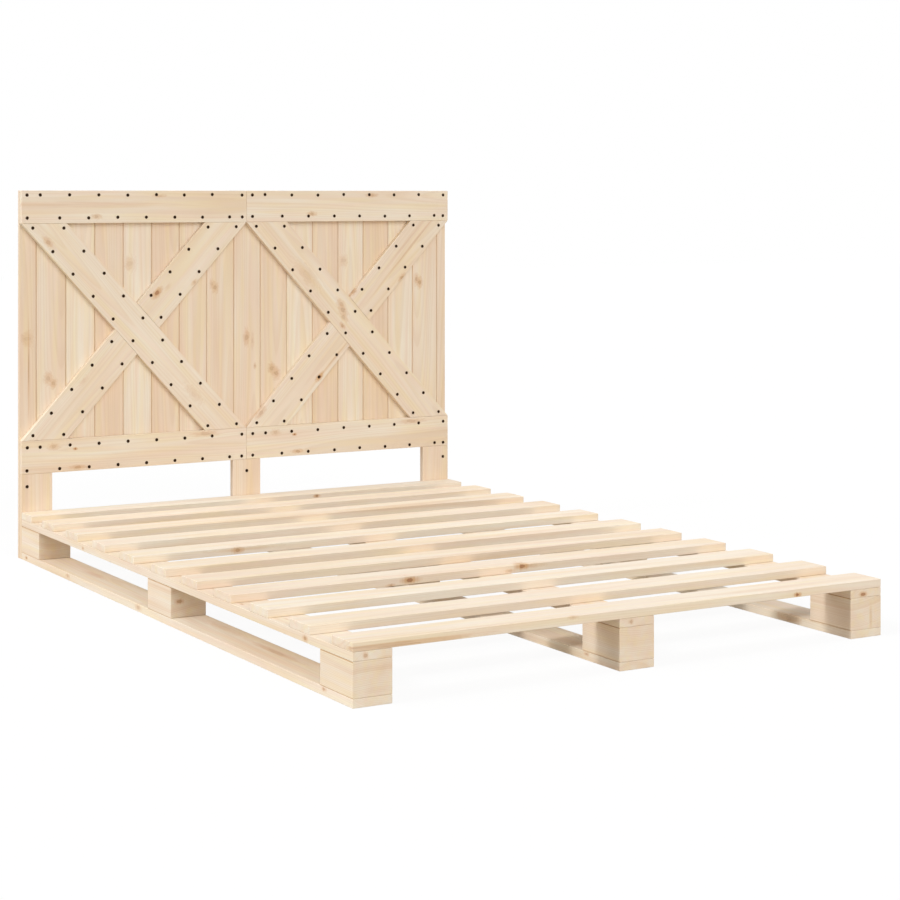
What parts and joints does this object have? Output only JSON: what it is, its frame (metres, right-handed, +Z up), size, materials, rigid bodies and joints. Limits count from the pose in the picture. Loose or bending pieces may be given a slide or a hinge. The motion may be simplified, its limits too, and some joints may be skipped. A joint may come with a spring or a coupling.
{
  "type": "bed frame",
  "caption": "Low slatted pine bed frame on a pallet-style base, with a planked, cross-braced headboard that stands on the floor behind it.",
  "frame": {"origin": "on the floor, at the middle of the whole footprint", "axes": "+Y along the bed to the headboard, +X to the right for someone at the foot who faces the headboard, +Z up"},
  "size_m": [1.4, 2.0312, 1.044],
  "materials": {
    "pale_pine": "planed bare pine, pale, with soft grain and brown knots",
    "warm_pine": "planed bare pine, a little warmer and more figured than the base, with reddish knots",
    "black_oxide_steel": "black phosphated steel screws"
  },
  "bodies": {
    "root": {"runner_left": "pale_pine", "runner_middle": "pale_pine", "runner_right": "pale_pine", "block_left_foot": "pale_pine", "block_left_middle": "pale_pine", "block_left_head": "pale_pine", "block_middle_foot": "pale_pine", "block_middle_middle": "pale_pine", "block_middle_head": "pale_pine", "block_right_foot": "pale_pine", "block_right_middle": "pale_pine", "block_right_head": "pale_pine", "stringer_left": "pale_pine", "stringer_middle": "pale_pine", "stringer_right": "pale_pine", "slat_01": "pale_pine", "slat_02": "pale_pine", "slat_03": "pale_pine", "slat_04": "pale_pine", "slat_05": "pale_pine", "slat_06": "pale_pine", "slat_07": "pale_pine", "slat_08": "pale_pine", "slat_09": "pale_pine", "slat_10": "pale_pine", "slat_11": "pale_pine", "headboard_plank_01": "warm_pine", "headboard_plank_02": "warm_pine", "headboard_plank_03": "warm_pine", "headboard_plank_04": "warm_pine", "headboard_plank_05": "warm_pine", "headboard_plank_06": "warm_pine", "headboard_plank_07": "warm_pine", "headboard_plank_08": "warm_pine", "headboard_plank_09": "warm_pine", "headboard_plank_10": "warm_pine", "headboard_plank_11": "warm_pine", "headboard_plank_12": "warm_pine", "headboard_plank_13": "warm_pine", "headboard_plank_14": "warm_pine", "headboard_plank_15": "warm_pine", "headboard_plank_16": "warm_pine", "headboard_plank_17": "warm_pine", "headboard_top_rail_left": "warm_pine", "headboard_top_rail_right": "warm_pine", "headboard_lower_rail_left": "warm_pine", "headboard_lower_rail_right": "warm_pine", "headboard_brace_left_through": "warm_pine", "headboard_brace_left_upper": "warm_pine", "headboard_brace_left_lower": "warm_pine", "headboard_brace_right_through": "warm_pine", "headboard_brace_right_upper": "warm_pine", "headboard_brace_right_lower": "warm_pine", "headboard_leg_left": "warm_pine", "headboard_leg_middle": "warm_pine", "headboard_leg_right": "warm_pine", "headboard_screw_left": "black_oxide_steel", "headboard_screw_middle": "black_oxide_steel", "headboard_screw_right": "black_oxide_steel"}
  },
  "joints": []
}
